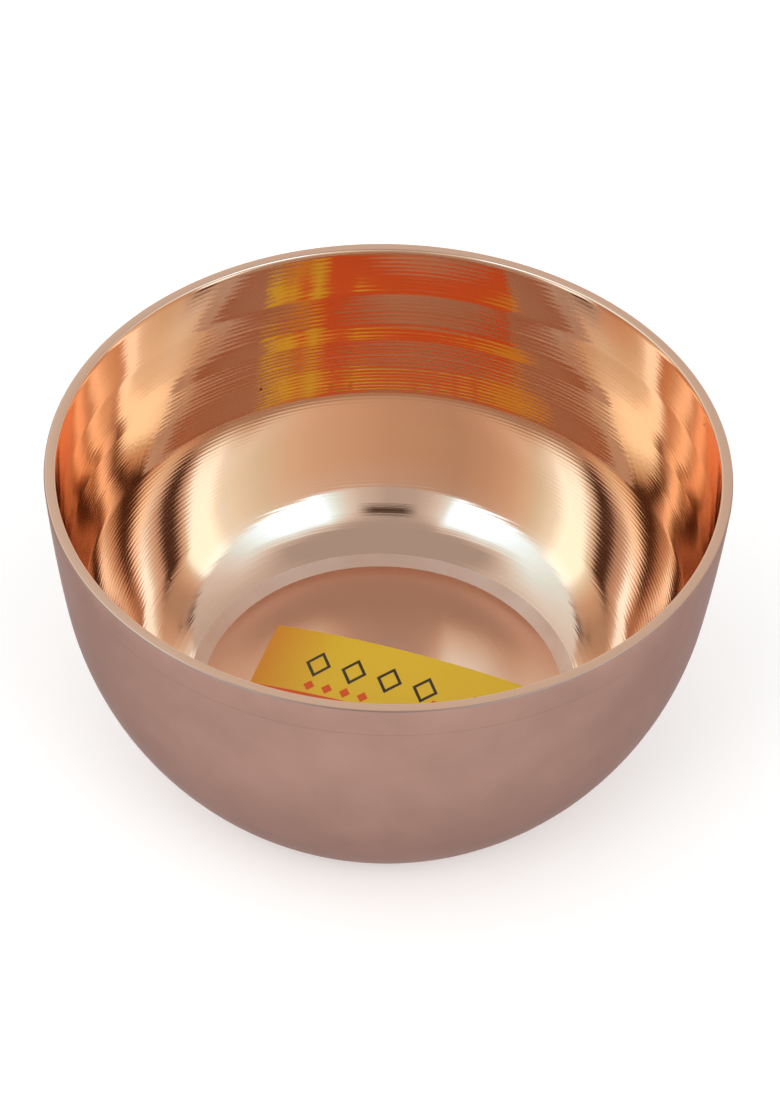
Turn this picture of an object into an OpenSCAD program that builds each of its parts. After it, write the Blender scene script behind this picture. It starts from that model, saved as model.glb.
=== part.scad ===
// Offering bowl: one thick bronze casting, turned inside and out, with a paper label stuck to its floor.
// The origin is at the middle of the ring that it stands on, +Z runs up to the rim, and -Y is the front.

/* [Rim and wall] */
// Outer diameter at the rim
rim_d = 120; // [116:1:130]
// Overall height
bowl_h = 65; // [61:0.5:68]
// Thickness of the wall, and of the rim that ends it
wall_t = 2; // [1.5:0.1:3]
// Radius of the two rounded edges of the rim
rim_round = 0.4; // [0.2:0.05:0.6]
// Height of the nearly straight upper wall
wall_h = 24; // [21:0.5:28]
// Lean of the wall at the rim, in degrees from upright
rim_lean = 3.1; // [2:0.1:5]
// Lean of the wall where the belly begins
wall_lean = 7; // [6:0.1:10]

/* [Belly and foot] */
// Outer radius of the belly's curve
belly_r = 63; // [58:0.5:68]
// Outer radius where the belly turns under
foot_r = 8; // [5:0.5:11]
// Width of the flat ring that the bowl stands on
foot_land = 5; // [3:0.5:8]
// Height of the sloped step inside that ring
dish_step = 1; // [0.5:0.1:1.5]

/* [Inside] */
// Thickness of the base below the edge of the floor
base_t = 5.4; // [4.6:0.1:7]
// Radius of the upper part of the cove, below the belly
cove_upper_r = 31.5; // [28:0.5:36]
// Turn of that upper part, in degrees
cove_upper_turn = 11; // [7:1:15]
// Radius of the lower part of the cove
cove_lower_r = 20; // [16:0.5:24]
// Slope of the cove where it meets the floor, in degrees from level
floor_edge_slope = 15; // [10:1:22]
// Rise of the floor from its edge to its middle
floor_rise = 3; // [1.5:0.1:4]

/* [Turning marks] */
// Feed of the tool, from one mark to the next
mark_pitch = 0.9; // [0.6:0.1:2]
// Depth of a mark
mark_depth = 0.04; // [0.02:0.01:0.1]
// Distance from the rim to the first mark
marks_start = 1.5; // [1:0.5:8]
// Height of the smooth band between the last mark and the cove
smooth_h = 12.5; // [8:0.5:18]

/* [Label] */
// Long side of the label
label_w = 50; // [30:1:54]
// Short side of the label
label_d = 25; // [12:1:30]
// Thickness of the printed paper
label_t = 0.12; // [0.08:0.01:0.2]
// Turn of the label from the X axis, in degrees
label_turn = -17; // [-90:1:90]
// Distance of the label's middle from the axis, towards the front
label_off = 3.5; // [0:0.5:4.5]

/* [Hidden] */
// Everything here is round, so this only sets how fine a preview is.
round_fn = 180;
// Straight steps in each curve of the profile
rim_steps = 4;
wall_steps = 10;
belly_steps = 22;
foot_steps = 8;
band_steps = 6;
cove_steps = 10;
floor_steps = 12;

// The wall and the belly are arcs that meet smoothly, and the foot's arc ends level with the table.
edge_z = bowl_h - rim_round;
wall_r = wall_h / (sin(wall_lean) - sin(rim_lean));
wall_c = [rim_d / 2 - wall_r * cos(rim_lean), edge_z + wall_r * sin(rim_lean)];
belly_c = on_arc(wall_c, wall_r - belly_r, wall_lean);
foot_lean = asin((belly_c.y - foot_r) / (belly_r - foot_r));
foot_c = on_arc(belly_c, belly_r - foot_r, foot_lean);
dish_edge_r = foot_c.x - foot_land;
dish_r = dish_edge_r - dish_step;

// Inside, the wall keeps its thickness down to the cove. Where the cove starts follows from the floor's height.
wall_in_r = wall_r - wall_t;
belly_in_r = belly_r - wall_t;
floor_lean = 90 - floor_edge_slope;
cove_drop = belly_c.y - base_t - cove_lower_r * sin(floor_lean);
cove_along = belly_in_r - cove_upper_r + (cove_upper_r - cove_lower_r) * cos(cove_upper_turn);
cove_across = (cove_upper_r - cove_lower_r) * sin(cove_upper_turn);
cove_lean = asin(cove_drop / norm([cove_along, cove_across])) - atan2(cove_across, cove_along);
cove_mid_lean = cove_lean + cove_upper_turn;
cove_upper_c = on_arc(belly_c, belly_in_r - cove_upper_r, cove_lean);
cove_lower_c = on_arc(cove_upper_c, cove_upper_r - cove_lower_r, cove_mid_lean);
floor_edge = on_arc(cove_lower_c, cove_lower_r, floor_lean);

// The floor is a shallow dome, and the dish below it has the same curve.
dome_r = (pow(floor_edge.x, 2) + pow(floor_rise, 2)) / (2 * floor_rise);

// The marks fill the height from below the rim to the smooth band above the cove.
marks_top = bowl_h - marks_start;
marks_low = on_arc(belly_c, belly_in_r, cove_lean).y + smooth_h;
mark_count = floor((marks_top - marks_low) / mark_pitch);
band_top = marks_top - mark_count * mark_pitch;

// A point of an arc in the profile, where lean is the surface's tilt from upright
function on_arc(c, r, lean) = c + r * [cos(lean), -sin(lean)];

function arc(c, r, lean_from, lean_to, steps) =
    [for (i = [0:steps]) on_arc(c, r, lean_from + (lean_to - lean_from) * i / steps)];

// Radius of the inner surface at a height on the wall or the belly
function inner_radius(z) =
    z > wall_c.y - wall_in_r * sin(wall_lean)
    ? wall_c.x + sqrt(pow(wall_in_r, 2) - pow(wall_c.y - z, 2))
    : belly_c.x + sqrt(pow(belly_in_r, 2) - pow(belly_c.y - z, 2));

// How far the dome has fallen at distance r from its middle
function dome_fall(r) = dome_r - sqrt(pow(dome_r, 2) - pow(r, 2));

// A dome's profile from the axis out to radius r, its edge at height z
function dome(r, z) =
    [for (i = [0:floor_steps]) let (x = r * i / floor_steps) [x, z + dome_fall(r) - dome_fall(x)]];

function flipped(points) = [for (i = [len(points) - 1:-1:0]) points[i]];

// A rounded edge of the rim about the radius r
function rim_edge(r, turn_from, turn_to) =
    [for (i = [0:rim_steps]) let (turn = turn_from + (turn_to - turn_from) * i / rim_steps)
        [r, edge_z] + rim_round * [cos(turn), sin(turn)]];

function rim() = concat(
    rim_edge(rim_d / 2 - rim_round, 0, 90),
    rim_edge(inner_radius(edge_z) + rim_round, 90, 180));

function outside() = concat(
    arc(foot_c, foot_r, 90, foot_lean, foot_steps),
    arc(belly_c, belly_r, foot_lean, wall_lean, belly_steps),
    arc(wall_c, wall_r, wall_lean, rim_lean, wall_steps));

// Each mark is a crest on the wall's own surface and, half a feed lower, a valley cut into it.
function marks() =
    [for (i = [0:mark_count - 1], half = [0, 1])
        let (z = marks_top - (i + half / 2) * mark_pitch)
        [inner_radius(z) + half * mark_depth, z]];

function smooth_band() =
    arc(belly_c, belly_in_r, asin((belly_c.y - band_top) / belly_in_r), cove_lean, band_steps);

function cove() = concat(
    arc(cove_upper_c, cove_upper_r, cove_lean, cove_mid_lean, cove_steps),
    arc(cove_lower_c, cove_lower_r, cove_mid_lean, floor_lean, cove_steps));

function floor_top() = dome(floor_edge.x, floor_edge.y);

module bowl() {
    color([0.78, 0.56, 0.42])
        rotate_extrude($fn = round_fn)
            polygon(concat(outside(), rim(), marks(), smooth_band(), cove(), flipped(floor_top()),
                dome(dish_r, dish_step), [[dish_edge_r, 0]]));
}

// The paper lies on the floor all over, so it is a piece of a thin shell of the floor's own curve.
module label() {
    color([0.95, 0.8, 0.1])
        intersection() {
            rotate_extrude($fn = round_fn)
                polygon(concat(floor_top(), flipped([for (p = floor_top()) p + [0, label_t]])));
            translate([0, -label_off, base_t])
                rotate([0, 0, label_turn])
                    translate([-label_w / 2, -label_d / 2, 0])
                        cube([label_w, label_d, floor_rise + 2 * label_t]);
        }
}

bowl();
label();
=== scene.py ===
import math
import random

import bpy
import numpy as np
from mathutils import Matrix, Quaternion, Vector


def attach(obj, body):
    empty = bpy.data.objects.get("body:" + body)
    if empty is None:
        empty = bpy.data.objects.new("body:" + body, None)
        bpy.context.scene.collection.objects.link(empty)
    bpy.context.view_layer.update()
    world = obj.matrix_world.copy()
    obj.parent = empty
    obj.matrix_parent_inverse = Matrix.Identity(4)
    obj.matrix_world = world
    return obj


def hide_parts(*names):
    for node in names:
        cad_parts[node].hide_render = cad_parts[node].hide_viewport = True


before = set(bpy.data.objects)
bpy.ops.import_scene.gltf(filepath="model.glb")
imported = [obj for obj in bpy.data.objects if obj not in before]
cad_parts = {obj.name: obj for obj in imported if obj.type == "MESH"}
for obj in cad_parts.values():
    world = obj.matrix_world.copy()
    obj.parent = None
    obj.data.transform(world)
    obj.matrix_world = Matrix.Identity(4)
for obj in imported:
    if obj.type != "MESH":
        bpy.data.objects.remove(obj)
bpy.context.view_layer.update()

mm = 0.001
noiseSpan = (0.3, 0.7)          # nearly all values of a noise texture lie between these


# Helpers

def linearColour(hexColour):
    # sRGB hex to the linear values that shaders take
    parts = [int(hexColour[i:i + 2], 16) / 255 for i in (1, 3, 5)]
    return [c / 12.92 if c <= 0.04045 else ((c + 0.055) / 1.055) ** 2.4 for c in parts] + [1.0]


def addNode(tree, kind, settings=None, inputs=None, stops=None):
    # One node, its settings, and what goes into its sockets: a value, a socket, or a node for its
    # first output. Stops are the places and colours of a ramp. The names of a Mix node's sockets
    # repeat, so they go by number: 0 is the share, 2 and 3 are two values, 6 and 7 two colours,
    # and the mixed colour is output 2.
    node = tree.nodes.new(kind)
    for key, value in (settings or {}).items():
        setattr(node, key, value)
    if stops:
        ramp = node.color_ramp.elements
        (ramp[0].position, ramp[0].color), (ramp[-1].position, ramp[-1].color) = stops[0], stops[-1]
        for place, colour in stops[1:-1]:
            ramp.new(place).color = colour
    for key, value in (inputs.items() if isinstance(inputs, dict) else enumerate(inputs or [])):
        if isinstance(value, bpy.types.Node):
            value = value.outputs[0]
        if isinstance(value, bpy.types.NodeSocket):
            tree.links.new(value, node.inputs[key])
        else:
            node.inputs[key].default_value = value
    return node


def newMaterial(name):
    material = bpy.data.materials.new(name)
    material.use_nodes = True
    material.node_tree.nodes.clear()
    return material, material.node_tree


def finishPiece(piece, name, node):
    piece.name = name
    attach(piece, "root")
    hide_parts(node)


# Camera: a long lens looking down into the bowl, tipped a little, as in the photograph

camera = {
    "from": (0.0, -406.2, 438.8),   # mm
    "aimedAt": (0.63, 0.0, 41.9),   # mm
    "roll": 1.577,                  # degrees
    "lens": 102.8,                  # mm
    "sensor": 36,                   # mm, its long side
    "clip": (0.01, 100),            # m
}

bpy.ops.object.select_all(action="DESELECT")
bpy.ops.object.camera_add()
eye = bpy.context.object
eye.name = "camera"
eye.location = Vector(camera["from"]) * mm
look = (Vector(camera["aimedAt"]) - Vector(camera["from"])).to_track_quat("-Z", "Y")
eye.rotation_mode = "QUATERNION"
eye.rotation_quaternion = look @ Quaternion((0, 0, 1), math.radians(camera["roll"]))
eye.data.lens = camera["lens"]
eye.data.sensor_width = camera["sensor"]
eye.data.clip_start, eye.data.clip_end = camera["clip"]
bpy.context.scene.camera = eye
print("camera placed")


# Studio: soft boxes to the left and right of the camera, and walls that glow beside them

studio = {
    # azimuth 0 is the back, 90 the right and 180 the camera; a brightness of 1 is plain white
    "walls": (0.4, 0.48),          # brightness of the bare walls, by the camera and at the back
    "boxFace": 3.2,                # brightness of a soft box's face
    # middle and half width of each face in degrees, and what the wall shows beside it, on the
    # camera's side and the back's: degrees of soft edge, glow, degrees over which it falls to 37 %
    "boxes": [
        {"middle": -138, "half": 10, "camera": (5.5, 1.6, 7), "back": (8, 2.15, 45)},
        {"middle": 137.5, "half": 10.5, "camera": (5, 2.6, 9), "back": (7, 2.5, 22)},
    ],
    # degrees past a face at which the brightness is worked out, on the camera's side and the back's
    "steps": {"camera": (0, 2, 5, 9, 14, 20), "back": (0, 4, 8, 18, 28, 43, 60, 80)},
    # heights and depths below are parts of a way's length, up and towards the back
    "ceiling": (0.42, 0.57),       # brightness over the camera and over the back
    "ceilingTurn": (0.05, 0.25),   # depths between which the one turns into the other
    "wallTop": (0.67, 0.88),       # heights between which the walls turn into the ceiling
    "backHigher": 0.12,            # how much higher they do so at the back
    "backTurn": (-0.2, 0.1),       # depths between which the walls grow higher
    "horizon": (0.16, 0.36),       # heights between which white paper fades into the walls
    # the stronger the light, the cooler the metal shows it, as in the photograph
    "coolness": [(0.0, "#FFFFFF"), (0.6, "#FFFFFF"), (1.3, "#CEF0FF"), (2.05, "#B9E2FF"), (3.2, "#B2DDFC")],
    "onPaper": 1.32,               # light on the printed paper, against what the metal shows
}


def wallBrightness(azimuth):
    # the bare wall, with each soft box's face and the glow beside it
    atCamera, atBack = studio["walls"]
    bare = atCamera + (atBack - atCamera) * (1 + math.cos(math.radians(azimuth))) / 2
    brightness = bare
    for box in studio["boxes"]:
        away = (azimuth - box["middle"] + 180) % 360 - 180
        past = max(abs(away) - box["half"], 0)
        edge, glow, reach = box["camera" if away * box["middle"] > 0 else "back"]
        share = min(past / edge, 1)
        brightness += (studio["boxFace"] - bare - glow) * (1 - share * share * (3 - 2 * share))
        brightness += glow * math.exp(-past / reach)
    return brightness


def wallAzimuths():
    # the camera, the back, and steps away from each soft box's face
    azimuths = {-180, 0, 180}
    for box in studio["boxes"]:
        for side, way in (("camera", 1), ("back", -1)):
            way = math.copysign(way, way * box["middle"])
            azimuths |= {box["middle"] + way * (box["half"] + past) for past in studio["steps"][side]}
    return sorted(azimuths)


def buildRoom():
    world = bpy.data.worlds.new("studio walls")
    bpy.context.scene.world = world
    world.use_nodes = True
    tree = world.node_tree
    tree.nodes.clear()
    way = addNode(tree, "ShaderNodeTexCoord").outputs["Generated"]
    split = addNode(tree, "ShaderNodeSeparateXYZ", inputs=[way])
    right, back, up = split.outputs["X"], split.outputs["Y"], split.outputs["Z"]

    azimuth = addNode(tree, "ShaderNodeMath", {"operation": "ARCTAN2"}, [right, back])
    share = addNode(tree, "ShaderNodeMapRange", inputs=[azimuth, -math.pi, math.pi, 0.0, 1.0])
    walls = addNode(tree, "ShaderNodeValToRGB", inputs=[share],
                    stops=[((a + 180) / 360, (*[wallBrightness(a)] * 3, 1)) for a in wallAzimuths()])
    ceiling = addNode(tree, "ShaderNodeMapRange", {"interpolation_type": "SMOOTHSTEP"},
                      [back, *studio["ceilingTurn"], *studio["ceiling"]])
    lower = addNode(tree, "ShaderNodeMapRange",
                    inputs=[back, *studio["backTurn"], 0.0, studio["backHigher"]])
    lower = addNode(tree, "ShaderNodeMath", {"operation": "SUBTRACT"}, [up, lower])
    above = addNode(tree, "ShaderNodeMapRange", {"interpolation_type": "SMOOTHSTEP"},
                    [lower, *studio["wallTop"], 0.0, 1.0])
    upper = addNode(tree, "ShaderNodeMapRange", {"interpolation_type": "SMOOTHSTEP"},
                    [up, *studio["horizon"], 0.0, 1.0])
    level = addNode(tree, "ShaderNodeMix", inputs={0: above, 2: walls, 3: ceiling})
    level = addNode(tree, "ShaderNodeMix", inputs={0: upper, 2: 1.0, 3: level})

    strongest = studio["coolness"][-1][0]
    strength = addNode(tree, "ShaderNodeMath", {"operation": "DIVIDE"}, [level, strongest])
    cool = addNode(tree, "ShaderNodeValToRGB", inputs=[strength],
                   stops=[(b / strongest, linearColour(colour)) for b, colour in studio["coolness"]])
    path = addNode(tree, "ShaderNodeLightPath")
    colour = addNode(tree, "ShaderNodeMix", {"data_type": "RGBA"},
                     {0: path.outputs["Is Glossy Ray"], 6: linearColour("#FFFFFF"), 7: cool})
    fuller = addNode(tree, "ShaderNodeMath", {"operation": "MULTIPLY"}, [level, studio["onPaper"]])
    level = addNode(tree, "ShaderNodeMix", inputs={0: path.outputs["Is Diffuse Ray"], 2: level, 3: fuller})
    sky = addNode(tree, "ShaderNodeBackground", inputs=[colour.outputs[2], level])
    addNode(tree, "ShaderNodeOutputWorld", inputs=[sky])


floorPaper = {
    "width": 30,           # m
    "gap": 0.05,           # mm below the bowl
    "colour": "#F6F6F5",
    "lift": 0.18,          # what the paper adds to its own shade
}


def buildFloor():
    # white paper: matt, and kept white for the eye and in the metal, with the bowl's shadow on it
    paper, tree = newMaterial("white background paper")
    path = addNode(tree, "ShaderNodeLightPath")
    seen = addNode(tree, "ShaderNodeMath", {"operation": "MAXIMUM"},
                   [path.outputs["Is Camera Ray"], path.outputs["Is Glossy Ray"]])
    seen = addNode(tree, "ShaderNodeMath", {"operation": "MAXIMUM"},
                   [seen, path.outputs["Is Transmission Ray"]])
    lift = addNode(tree, "ShaderNodeMath", {"operation": "MULTIPLY"}, [seen, floorPaper["lift"]])
    matt = addNode(tree, "ShaderNodeBsdfDiffuse", inputs={"Color": linearColour(floorPaper["colour"])})
    glow = addNode(tree, "ShaderNodeEmission", inputs={"Color": linearColour("#FFFFFF"), "Strength": lift})
    both = addNode(tree, "ShaderNodeAddShader", inputs=[matt, glow])
    addNode(tree, "ShaderNodeOutputMaterial", inputs=[both])
    bpy.ops.mesh.primitive_plane_add(size=floorPaper["width"], location=(0, 0, -floorPaper["gap"] * mm))
    sheet = bpy.context.object
    sheet.name = "floor"
    sheet.data.materials.append(paper)


cameraBack = {
    "width": 250, "height": 84,   # mm
    "up": 18,                     # mm above the lens
    "fade": (0.18, 0.5),          # it fades out between these parts of its width, left and right
    "colour": "#4A3B35",
}


def buildCameraBack():
    # the camera's own image in the metal: matt and dark, and seen only in reflections
    body, tree = newMaterial("dark camera body")
    dark = addNode(tree, "ShaderNodeBsdfDiffuse", inputs={"Color": linearColour(cameraBack["colour"])})
    place = addNode(tree, "ShaderNodeTexCoord").outputs["Object"]
    split = addNode(tree, "ShaderNodeSeparateXYZ", inputs=[place])
    side = addNode(tree, "ShaderNodeMath", {"operation": "ABSOLUTE"}, [split.outputs["X"]])
    fade = addNode(tree, "ShaderNodeMapRange", {"interpolation_type": "SMOOTHSTEP"},
                   [side, *cameraBack["fade"], 0.0, 1.0])
    clear = addNode(tree, "ShaderNodeBsdfTransparent")
    soft = addNode(tree, "ShaderNodeMixShader", inputs=[fade, dark, clear])
    addNode(tree, "ShaderNodeOutputMaterial", inputs=[soft])
    bpy.ops.mesh.primitive_plane_add(size=1)
    card = bpy.context.object
    card.name = "camera back"
    card.scale = (cameraBack["width"] * mm, cameraBack["height"] * mm, 1)
    card.rotation_mode = "QUATERNION"
    card.rotation_quaternion = look
    card.location = eye.location + look @ Vector((0, cameraBack["up"] * mm, 0))
    card.data.materials.append(body)
    card.visible_camera = False
    card.visible_diffuse = False
    card.visible_shadow = False


buildRoom()
buildFloor()
buildCameraBack()
print("studio lit")


# Bowl: the section is drawn out point by point and spun round the axis

bowl = {
    # outside, mm and degrees
    "rimRadius": 60.0, "height": 65.0, "rimWidth": 2.0, "rimRound": 0.4,
    "wallHeight": 24.0, "rimLean": 3.1, "wallLean": 7.0,
    "bellyRadius": 63.0, "footRadius": 8.0, "footWidth": 5.0, "dishStep": 1.0,
    # inside wall: height and lean where one pass of the tool ends and the next begins
    "passes": [(64.6, 1.2), (58, 2.0), (55.2, 2.6), (53.8, 4.6), (50, 5.6), (47.6, 6.3), (46.8, 5.5),
               (44.6, 5.8), (43.4, 7.6), (40, 8.6), (38.4, 9.2), (37.6, 8.8), (35, 9.6), (32.8, 10.6),
               (31, 15.6)],
    # below the passes: height and lean where one arc runs on into the next, down to the floor's edge
    "curve": [(31, 15.6), (24, 24.6), (14.7, 34.4), (11.37, 43.14), (5.4, 75.9)],
    "baseThickness": 5.4, "floorRise": 3.0,
    # tool marks: heights of the first and last, pitch and steepness by height, and how both vary
    "marksTop": 63.7, "marksEnd": 12.4,
    "markPitch": [(44, 0.75), (48, 0.9)],
    "markSlope": [(12, 0.5), (20, 1.2), (40, 1.2), (46, 0.8), (54, 0.6), (64, 0.5)],
    "pitchVary": (0.9, 1.1), "slopeVary": (0.8, 1.2), "seed": 11,
    # how finely it is drawn: heights summed inside, faces along each arc, mm between the points
    # below the marks, degrees round the rim's edges, and faces round the axis
    "heights": 6001,
    "faces": {"dish": 6, "foot": 6, "belly": 22, "wall": 8, "floor": 12},
    "plainStep": 0.8, "rimTurn": 18, "turns": 320,
    "smoothUpTo": 20,   # degrees
}


def arcPoint(centre, radius, lean):
    a = math.radians(lean)
    return (centre[0] + radius * math.cos(a), centre[1] - radius * math.sin(a))


def arcPoints(centre, radius, leanFrom, leanTo, steps):
    return [arcPoint(centre, radius, leanFrom + (leanTo - leanFrom) * i / steps) for i in range(steps + 1)]


def byHeight(stops, z):
    return float(np.interp(z, *zip(*stops)))


def innerLean(z):
    # lean of the inside at height z, in radians
    if z < bowl["curve"][0][0]:
        heights, leans = zip(*bowl["curve"][::-1])
        return math.asin(np.interp(z, heights, np.sin(np.radians(leans))))
    for (zHigh, leanHigh), (zLow, leanLow) in zip(bowl["passes"], bowl["passes"][1:]):
        if z >= zLow:
            share = (zHigh - z) / (zHigh - zLow)
            return math.radians(leanHigh + (leanLow - leanHigh) * share * share * (3 - 2 * share))


# the inside curve, summed up from the rim to the floor's edge
innerZ = np.linspace(bowl["height"] - bowl["rimRound"], bowl["baseThickness"], bowl["heights"])
innerSlope = np.tan([innerLean(z) for z in (innerZ[1:] + innerZ[:-1]) / 2])
innerR = bowl["rimRadius"] - bowl["rimWidth"] - np.append(0, np.cumsum(innerSlope * -np.diff(innerZ)))
innerRun = np.append(0, np.cumsum(np.hypot(np.diff(innerR), np.diff(innerZ))))
floorEdge = float(innerR[-1])
domeRadius = (floorEdge ** 2 + bowl["floorRise"] ** 2) / (2 * bowl["floorRise"])


def domeFall(r):
    # how far a dome as round as the floor falls from its middle to radius r
    return domeRadius - math.sqrt(domeRadius ** 2 - r ** 2)


def innerPoint(run):
    return (float(np.interp(run, innerRun, innerR)), float(np.interp(run, innerRun, innerZ)))


def outsideSection():
    # underside, belly, wall and rim, from the axis out and up, then over to the inside
    b, faces = bowl, bowl["faces"]
    edgeZ = b["height"] - b["rimRound"]
    wallR = b["wallHeight"] / (math.sin(math.radians(b["wallLean"])) - math.sin(math.radians(b["rimLean"])))
    wallC = (b["rimRadius"] - wallR * math.cos(math.radians(b["rimLean"])),
             edgeZ + wallR * math.sin(math.radians(b["rimLean"])))
    bellyC = arcPoint(wallC, wallR - b["bellyRadius"], b["wallLean"])
    footLean = math.degrees(math.asin((bellyC[1] - b["footRadius"]) / (b["bellyRadius"] - b["footRadius"])))
    footC = arcPoint(bellyC, b["bellyRadius"] - b["footRadius"], footLean)
    dishEdge = footC[0] - b["footWidth"]
    dishR = dishEdge - b["dishStep"]
    points = []
    for i in range(faces["dish"] + 1):
        r = dishR * i / faces["dish"]
        points.append((r, b["dishStep"] + domeFall(dishR) - domeFall(r)))
    points.append((dishEdge, 0))
    points += arcPoints(footC, b["footRadius"], 90, footLean, faces["foot"])
    points += arcPoints(bellyC, b["bellyRadius"], footLean, b["wallLean"], faces["belly"])[1:]
    points += arcPoints(wallC, wallR, b["wallLean"], b["rimLean"], faces["wall"])[1:]
    outer, inner = b["rimRadius"] - b["rimRound"], b["rimRadius"] - b["rimWidth"] + b["rimRound"]
    turn = b["rimTurn"]
    for middle, turns in ((outer, range(90 - turn, -1, -turn)), (inner, range(0, -91, -turn))):
        points += [(middle + b["rimRound"] * math.sin(math.radians(a)),
                    edgeZ + b["rimRound"] * math.cos(math.radians(a))) for a in turns]
    return points


def insideSection():
    # each tool mark is a shallow scallop between two sharp crests; pitch and depth vary a little
    dice = random.Random(bowl["seed"])
    run, end = (float(np.interp(-bowl[key], -innerZ, innerRun)) for key in ("marksTop", "marksEnd"))
    points, crests = [], []
    while run < end:
        crests.append(innerPoint(run))
        pitch = byHeight(bowl["markPitch"], crests[-1][1]) * dice.uniform(*bowl["pitchVary"])
        r, z = innerPoint(run + pitch / 2)
        slope = math.radians(byHeight(bowl["markSlope"], z) * dice.uniform(*bowl["slopeVary"]))
        depth = pitch / 2 * math.tan(slope)
        points += [crests[-1], (r + depth * math.cos(innerLean(z)), z - depth * math.sin(innerLean(z)))]
        run += pitch
    left = innerRun[-1] - run
    plain = math.ceil(left / bowl["plainStep"])
    points += [innerPoint(run + left * i / plain) for i in range(plain + 1)]
    floorMiddle = bowl["baseThickness"] + domeFall(floorEdge)
    for i in range(1, bowl["faces"]["floor"] + 1):
        r = floorEdge * (1 - i / bowl["faces"]["floor"])
        points.append((r, floorMiddle - domeFall(r)))
    return points, crests


def turnBowl():
    inside, crests = insideSection()
    path = [Vector((r, 0, z)) * mm for r, z in outsideSection() + inside]
    # a small plane, merged to one point, is drawn out along the section and spun
    bpy.ops.object.select_all(action="DESELECT")
    bpy.ops.mesh.primitive_plane_add(size=mm)
    piece = bpy.context.object
    bpy.ops.object.mode_set(mode="EDIT")
    bpy.ops.mesh.select_mode(type="VERT")
    bpy.ops.mesh.select_all(action="SELECT")
    bpy.ops.mesh.merge(type="CENTER")
    bpy.ops.transform.translate(value=path[0])
    for before, after in zip(path, path[1:]):
        bpy.ops.mesh.extrude_region_move(TRANSFORM_OT_translate={"value": after - before})
    bpy.ops.mesh.select_all(action="SELECT")
    bpy.ops.mesh.spin(steps=bowl["turns"], angle=math.tau, center=(0, 0, 0), axis=(0, 0, 1))
    bpy.ops.mesh.select_all(action="SELECT")
    bpy.ops.mesh.remove_doubles(threshold=0.001 * mm)
    bpy.ops.mesh.normals_make_consistent(inside=False)
    bpy.ops.mesh.select_all(action="DESELECT")
    bpy.ops.mesh.select_mode(type="EDGE")
    bpy.ops.object.mode_set(mode="OBJECT")

    # the crests between the tool marks stay sharp: edges with both ends on a crest
    near = 0.002   # mm
    mesh = piece.data
    spots = np.empty(len(mesh.vertices) * 3)
    mesh.vertices.foreach_get("co", spots)
    x, y, z = spots.reshape(-1, 3).T / mm
    crestR, crestZ = (np.array(side) for side in zip(*crests[::-1]))
    nearest = np.searchsorted(crestZ, z - near).clip(0, len(crestZ) - 1)
    onCrest = (np.abs(z - crestZ[nearest]) < near) & (np.abs(np.hypot(x, y) - crestR[nearest]) < near)
    ends = np.empty(len(mesh.edges) * 2, dtype=int)
    mesh.edges.foreach_get("vertices", ends)
    ring = onCrest[ends.reshape(-1, 2)].all(axis=1)
    mesh.edges.foreach_set("select", ring)
    bpy.ops.object.mode_set(mode="EDIT")
    bpy.ops.mesh.mark_sharp()
    bpy.ops.object.mode_set(mode="OBJECT")
    bpy.ops.object.shade_smooth_by_angle(angle=math.radians(bowl["smoothUpTo"]), keep_sharp_edges=True)
    print(f"{len(crests)} tool marks, {ring.sum()} sharp edges, {len(mesh.polygons)} faces")
    return piece


bronze = {
    # turned bright: height in mm, colour and roughness of the lower cove, the polished cove,
    # the wall, which is more finely turned and painted paler upwards as a sheen of scattered light, and the
    # rim
    "finishAndPaintedSheen": [(14.0, "#F7CEB3", 0.07), (14.7, "#F7CEB3", 0.055), (22, "#F7CEB3", 0.055),
               (34, "#F6D3B4", 0.045), (50, "#F6D3B5", 0.045), (58, "#F6DAC4", 0.045),
               (64.6, "#F6DAC4", 0.045), (64.8, "#F7CBAE", 0.12)],
    # the ring's paler colour is a painted reflection, standing in for the pale room it mirrors; its roughness
    # is the real dull finish
    "ring": "#FFDDC9", "ringRoughness": 0.6,
    "ringRadius": 36.5,              # mm, a dull ring lies between here and the floor's edge
    "floor": "#F3CCBA", "floorRoughness": 0.20,
    "cloudWidth": 9.0,               # mm
    "cloudRough": (0.85, 1.15),      # how the roughness varies from place to place
    "acrossLines": 0.6,              # the turned lines spread light up and down more than sideways
    "lineWidth": 1.2,                # mm, the widest of the fine lines, as coarse as the picture can show
    "lineHeights": (0.016, 0.003),   # mm, below and above the cove's sharp edge
    "coveEdge": 14.4, "edgeFade": 1.0,   # mm
    "crinkleWidth": 1.1, "crinkleHeight": 0.02,   # mm, on the floor
    "pitSpacing": 12.0, "pitReach": 0.3, "pit": "#7A5240",   # mm
    # scoured satin
    "satin": "#A58377", "satinEdge": "#C5BEC0", "satinRoughness": 0.40,
    "satinCloudWidth": 14.0,         # mm
    "satinTones": (0.91, 1.07),
    "satinLineWidth": 0.7,           # mm, wider than the real ones of about 0.2, which would not show
    "satinLineHeight": 0.006,        # mm
    "scribedRing": 59.0,             # mm, height of a fine ring round the outside
    "scribedReach": 0.12,            # mm, half its width
    "scribedTone": -0.12,
}


def sectionPlace(tree):
    # place, radius, height, and radius plus height, which grows steadily from floor to rim
    place = addNode(tree, "ShaderNodeTexCoord").outputs["Object"]
    height = addNode(tree, "ShaderNodeSeparateXYZ", inputs=[place]).outputs["Z"]
    flat = addNode(tree, "ShaderNodeVectorMath", {"operation": "MULTIPLY"}, [place, (1, 1, 0)])
    radius = addNode(tree, "ShaderNodeVectorMath", {"operation": "LENGTH"}, [flat]).outputs["Value"]
    return place, radius, height, addNode(tree, "ShaderNodeMath", {"operation": "ADD"}, [radius, height])


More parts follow.
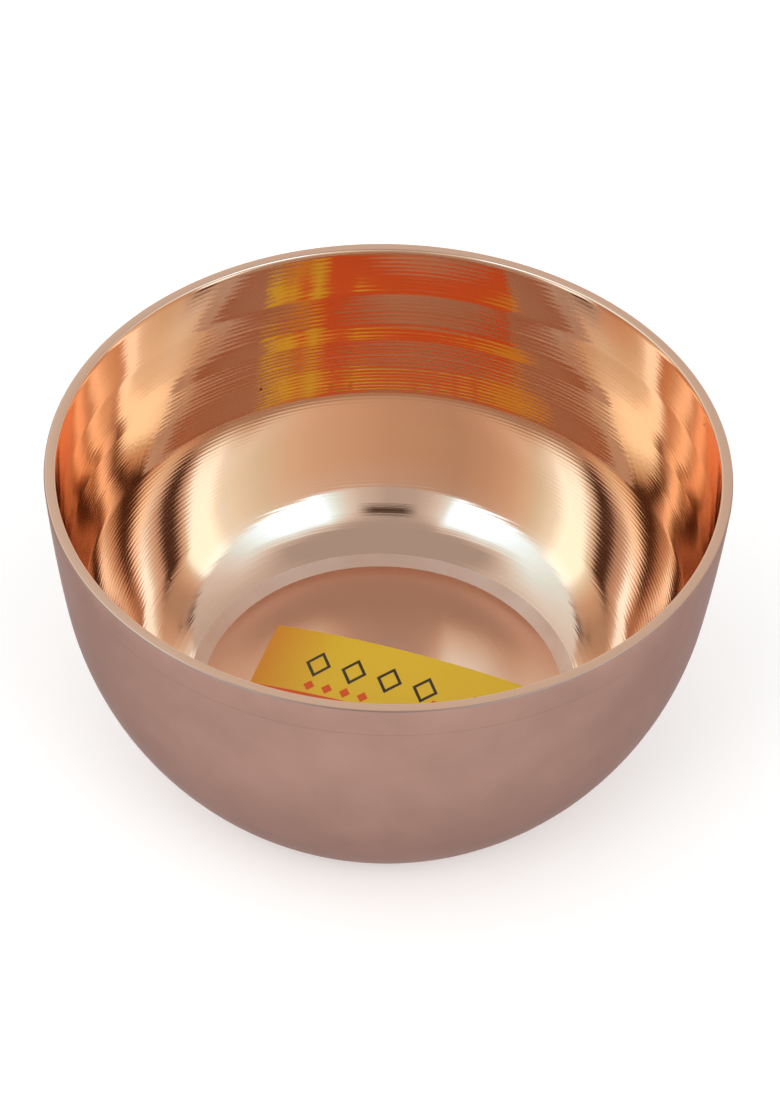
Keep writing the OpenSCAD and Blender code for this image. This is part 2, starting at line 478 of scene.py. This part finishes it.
def brightBronze():
    # bell bronze, rich in copper: it shows white paper as pale pink, and each further reflection
    # inside the bowl as a deeper gold
    material, tree = newMaterial("bell bronze, turned bright")
    place, radius, height, along = sectionPlace(tree)

    # tool lines run round the axis, and stand out more low in the cove
    lines = addNode(tree, "ShaderNodeTexNoise", {"noise_dimensions": "1D"},
                    {"W": along, "Scale": 1 / (bronze["lineWidth"] * mm), "Detail": 3.0, "Roughness": 0.6})
    edge, (below, above) = bronze["coveEdge"], bronze["lineHeights"]
    lineHeight = addNode(tree, "ShaderNodeMapRange",
                         inputs=[height, (edge - bronze["edgeFade"]) * mm, edge * mm, below * mm, above * mm])
    normal = addNode(tree, "ShaderNodeBump", inputs={"Distance": lineHeight, "Height": lines})

    # the floor keeps a little of the casting's crinkle
    onFloor = addNode(tree, "ShaderNodeMath", {"operation": "LESS_THAN"}, [radius, floorEdge * mm])
    crinkle = addNode(tree, "ShaderNodeTexNoise",
                      inputs={"Vector": place, "Scale": 1 / (bronze["crinkleWidth"] * mm), "Detail": 3.0})
    normal = addNode(tree, "ShaderNodeBump",
                     inputs={"Strength": onFloor, "Distance": bronze["crinkleHeight"] * mm,
                             "Height": crinkle, "Normal": normal})

    # the finish changes with height, and once more for the dull ring and the floor; the colour growing paler
    # up the wall is a painted sheen, and the ring's paler colour a painted reflection
    share = addNode(tree, "ShaderNodeMath", {"operation": "DIVIDE"}, [height, bowl["height"] * mm])
    rough = addNode(tree, "ShaderNodeValToRGB", inputs=[share],
                    stops=[(z / bowl["height"], (r, r, r, 1)) for z, colour, r in bronze["finishAndPaintedSheen"]])
    inRing = addNode(tree, "ShaderNodeMath", {"operation": "LESS_THAN"}, [radius, bronze["ringRadius"] * mm])
    rough = addNode(tree, "ShaderNodeMix", inputs={0: inRing, 2: rough, 3: bronze["ringRoughness"]})
    rough = addNode(tree, "ShaderNodeMix", inputs={0: onFloor, 2: rough, 3: bronze["floorRoughness"]})
    cloud = addNode(tree, "ShaderNodeTexNoise",
                    inputs={"Vector": place, "Scale": 1 / (bronze["cloudWidth"] * mm), "Detail": 3.0})
    vary = addNode(tree, "ShaderNodeMapRange", inputs=[cloud, *noiseSpan, *bronze["cloudRough"]])
    rough = addNode(tree, "ShaderNodeMath", {"operation": "MULTIPLY"}, [rough, vary])
    # painted sheen: the base colour grows paler up the wall, standing in for light its tool marks scatter
    colour = addNode(tree, "ShaderNodeValToRGB", inputs=[share],
                     stops=[(z / bowl["height"], linearColour(colour)) for z, colour, r in bronze["finishAndPaintedSheen"]])
    # painted reflection: the dull ring is given a paler colour than the cove
    onPaintedPaleRing = addNode(tree, "ShaderNodeMath", {"operation": "SUBTRACT"}, [inRing, onFloor])
    colour = addNode(tree, "ShaderNodeMix", {"data_type": "RGBA"},
                     {0: onPaintedPaleRing, 6: colour, 7: linearColour(bronze["ring"])})
    colour = addNode(tree, "ShaderNodeMix", {"data_type": "RGBA"},
                     {0: onFloor, 6: colour.outputs[2], 7: linearColour(bronze["floor"])})

    # a few dark pits of the casting, wherever the surface passes close to a cell's point
    cells = addNode(tree, "ShaderNodeTexVoronoi",
                    inputs={"Vector": place, "Scale": 1 / (bronze["pitSpacing"] * mm)})
    pit = addNode(tree, "ShaderNodeMath", {"operation": "LESS_THAN"},
                  [cells.outputs["Distance"], bronze["pitReach"] / bronze["pitSpacing"]])
    colour = addNode(tree, "ShaderNodeMix", {"data_type": "RGBA"},
                     {0: pit, 6: colour.outputs[2], 7: linearColour(bronze["pit"])})

    upward = addNode(tree, "ShaderNodeCombineXYZ", inputs=[0.0, 0.0, 1.0])
    shader = addNode(tree, "ShaderNodeBsdfPrincipled",
                     inputs={"Base Color": colour.outputs[2], "Metallic": 1.0, "Roughness": rough,
                             "Normal": normal, "Anisotropic": bronze["acrossLines"], "Tangent": upward})
    addNode(tree, "ShaderNodeOutputMaterial", inputs=[shader])
    return material


def satinBronze():
    # the same bronze, scoured all over: it spreads the room to one soft, pinkish brown tone
    material, tree = newMaterial("bell bronze, scoured satin")
    place, radius, height, along = sectionPlace(tree)
    cloud = addNode(tree, "ShaderNodeTexNoise",
                    inputs={"Vector": place, "Scale": 1 / (bronze["satinCloudWidth"] * mm),
                            "Detail": 5.0, "Roughness": 0.6})
    tone = addNode(tree, "ShaderNodeMapRange", inputs=[cloud, *noiseSpan, *bronze["satinTones"]])
    scribed = addNode(tree, "ShaderNodeMath", {"operation": "COMPARE"},
                      [height, bronze["scribedRing"] * mm, bronze["scribedReach"] * mm])
    tone = addNode(tree, "ShaderNodeMath", {"operation": "MULTIPLY_ADD"},
                   [scribed, bronze["scribedTone"], tone])
    colour = addNode(tree, "ShaderNodeVectorMath", {"operation": "SCALE"},
                     {0: linearColour(bronze["satin"])[:3], "Scale": tone})
    lines = addNode(tree, "ShaderNodeTexNoise", {"noise_dimensions": "1D"},
                    {"W": along, "Scale": 1 / (bronze["satinLineWidth"] * mm), "Detail": 3.0})
    normal = addNode(tree, "ShaderNodeBump",
                     inputs={"Distance": bronze["satinLineHeight"] * mm, "Height": lines})
    shader = addNode(tree, "ShaderNodeBsdfPrincipled",
                     inputs={"Base Color": colour, "Metallic": 1.0, "Roughness": bronze["satinRoughness"],
                             "Specular Tint": linearColour(bronze["satinEdge"]), "Normal": normal})
    addNode(tree, "ShaderNodeOutputMaterial", inputs=[shader])
    return material


def buildBowl():
    piece = turnBowl()
    piece.data.materials.append(brightBronze())
    piece.data.materials.append(satinBronze())
    # satin are the underside, and the outside up to where the rim turns flat
    for face in piece.data.polygons:
        out = Vector((face.center.x, face.center.y, 0)).normalized().dot(face.normal)
        face.material_index = 1 if face.normal.z < -0.5 or (out > 0 and face.normal.z < 0.8) else 0
    finishPiece(piece, "turned_bowl", "bowl")
    return piece


turnedBowl = buildBowl()
print("bowl turned")


# Label: thin printed paper laid on the domed floor

label = {
    "width": 50.0, "depth": 25.0, "thickness": 0.1,   # mm
    "turn": -17.0,                                    # degrees
    "middle": (0.0, -3.5),                            # mm
    "clearance": 0.01,                                # mm above the metal
    "faces": (50, 25),
    "dropFrom": 20,                                   # mm, a height well above the bowl's floor
    "smoothUpTo": 30,                                 # degrees
    "yellow": "#F6CA2C", "amber": "#EE9A2A", "red": "#EE5C12", "ink": "#3B2A14",
    # all that follows is in mm from the label's middle
    "amberTo": (-25.0, -12.0),                        # amber at the first, yellow from the second
    # plain blocks of print: colour, left, right, bottom and top
    "blocks": [("red", -25, 25, -12.5, -3.5), ("red", 9, 16.5, -3.5, 2), ("red", 16, 20.4, 2, 6),
               ("amber", 20.4, 25, -3.5, 8)],
    # rows of lozenges: colour, pitch, half width, half height, middle and half length of the row,
    # its height, and the part of each that is printed, as a share of its size
    "rows": [("ink", 7.0, 2.5, 3.4, -3.5, 14.0, 4.0, 0.7, 1.0),
             ("red", 3.5, 1.1, 1.3, -8.8, 7.0, -1.6, 0.0, 1.0)],
    "fibreWidth": 0.6, "fibreHeight": 0.006,          # mm, coarser than real fibre, which would not show
    "roughness": 0.42, "ior": 1.5,
}


def printedPaper():
    # semi-gloss label paper, offset printed: flat, strong colours under a soft, broad shine
    material, tree = newMaterial("semi-gloss label paper")
    place = addNode(tree, "ShaderNodeTexCoord").outputs["Object"]
    x, y = label["middle"]
    spot = addNode(tree, "ShaderNodeMapping", {"vector_type": "TEXTURE"},
                   [place, (x * mm, y * mm, 0), (0, 0, math.radians(label["turn"])), (mm, mm, mm)])
    split = addNode(tree, "ShaderNodeSeparateXYZ", inputs=[spot])
    across, up = split.outputs["X"], split.outputs["Y"]

    # yellow that warms to amber towards the left end, and the blocks on it
    warm = addNode(tree, "ShaderNodeMapRange", inputs=[across, *label["amberTo"], 1.0, 0.0])
    picture = addNode(tree, "ShaderNodeMix", {"data_type": "RGBA"},
                      {0: warm, 6: linearColour(label["yellow"]), 7: linearColour(label["amber"])})
    for ink, left, right, low, high in label["blocks"]:
        wide = addNode(tree, "ShaderNodeMath", {"operation": "COMPARE"},
                       [across, (left + right) / 2, (right - left) / 2])
        tall = addNode(tree, "ShaderNodeMath", {"operation": "COMPARE"},
                       [up, (low + high) / 2, (high - low) / 2])
        both = addNode(tree, "ShaderNodeMath", {"operation": "MULTIPLY"}, [wide, tall])
        picture = addNode(tree, "ShaderNodeMix", {"data_type": "RGBA"},
                          {0: both, 6: picture.outputs[2], 7: linearColour(label[ink])})

    # lozenges: how far across and up from the nearest one's middle, each as a share of its half size
    for ink, pitch, wide, tall, middle, half, rowUp, least, most in label["rows"]:
        turn = addNode(tree, "ShaderNodeMath", {"operation": "PINGPONG"}, [across, pitch / 2])
        turn = addNode(tree, "ShaderNodeMath", {"operation": "DIVIDE"}, [turn, wide])
        rise = addNode(tree, "ShaderNodeMath", {"operation": "SUBTRACT"}, [up, rowUp])
        rise = addNode(tree, "ShaderNodeMath", {"operation": "ABSOLUTE"}, [rise])
        rise = addNode(tree, "ShaderNodeMath", {"operation": "DIVIDE"}, [rise, tall])
        reach = addNode(tree, "ShaderNodeMath", {"operation": "ADD"}, [turn, rise])
        line = addNode(tree, "ShaderNodeMath", {"operation": "COMPARE"},
                       [reach, (least + most) / 2, (most - least) / 2])
        row = addNode(tree, "ShaderNodeMath", {"operation": "COMPARE"}, [across, middle, half])
        line = addNode(tree, "ShaderNodeMath", {"operation": "MULTIPLY"}, [line, row])
        picture = addNode(tree, "ShaderNodeMix", {"data_type": "RGBA"},
                          {0: line, 6: picture.outputs[2], 7: linearColour(label[ink])})

    fibre = addNode(tree, "ShaderNodeTexNoise",
                    inputs={"Vector": place, "Scale": 1 / (label["fibreWidth"] * mm), "Detail": 4.0})
    normal = addNode(tree, "ShaderNodeBump", inputs={"Distance": label["fibreHeight"] * mm, "Height": fibre})
    shader = addNode(tree, "ShaderNodeBsdfPrincipled",
                     inputs={"Base Color": picture.outputs[2], "Roughness": label["roughness"],
                             "IOR": label["ior"], "Normal": normal})
    addNode(tree, "ShaderNodeOutputMaterial", inputs=[shader])
    return material


def buildLabel():
    bpy.ops.object.select_all(action="DESELECT")
    across, deep = label["faces"]
    bpy.ops.mesh.primitive_grid_add(x_subdivisions=across, y_subdivisions=deep, size=1)
    piece = bpy.context.object
    piece.scale = (label["width"] * mm, label["depth"] * mm, 1)
    piece.rotation_euler.z = math.radians(label["turn"])
    piece.location = Vector((*label["middle"], label["dropFrom"])) * mm
    bpy.ops.object.transform_apply(location=True, rotation=True, scale=True)
    # dropped straight down onto the dome, then given the paper's thickness
    laid = piece.modifiers.new("laid on the floor", "SHRINKWRAP")
    laid.target = turnedBowl
    laid.wrap_method = "PROJECT"
    laid.use_project_z = True
    laid.use_negative_direction = True
    laid.use_positive_direction = False
    laid.offset = label["clearance"] * mm
    thick = piece.modifiers.new("paper", "SOLIDIFY")
    thick.thickness = label["thickness"] * mm
    thick.offset = 1
    for modifier in (laid, thick):
        bpy.ops.object.modifier_apply(modifier=modifier.name)
    bpy.ops.object.shade_smooth_by_angle(angle=math.radians(label["smoothUpTo"]))
    piece.data.materials.append(printedPaper())
    finishPiece(piece, "paper_label", "label")
    heights = [point.co.z / mm for point in piece.data.vertices]
    print(f"label from {min(heights):.3f} to {max(heights):.3f} mm")


buildLabel()
print("label laid")

bpy.context.scene.cycles.glossy_bounces = 12   # light meets the inside wall many times before it leaves
bpy.context.scene.cycles.max_bounces = 16
bpy.context.scene.view_settings.view_transform = "Standard"
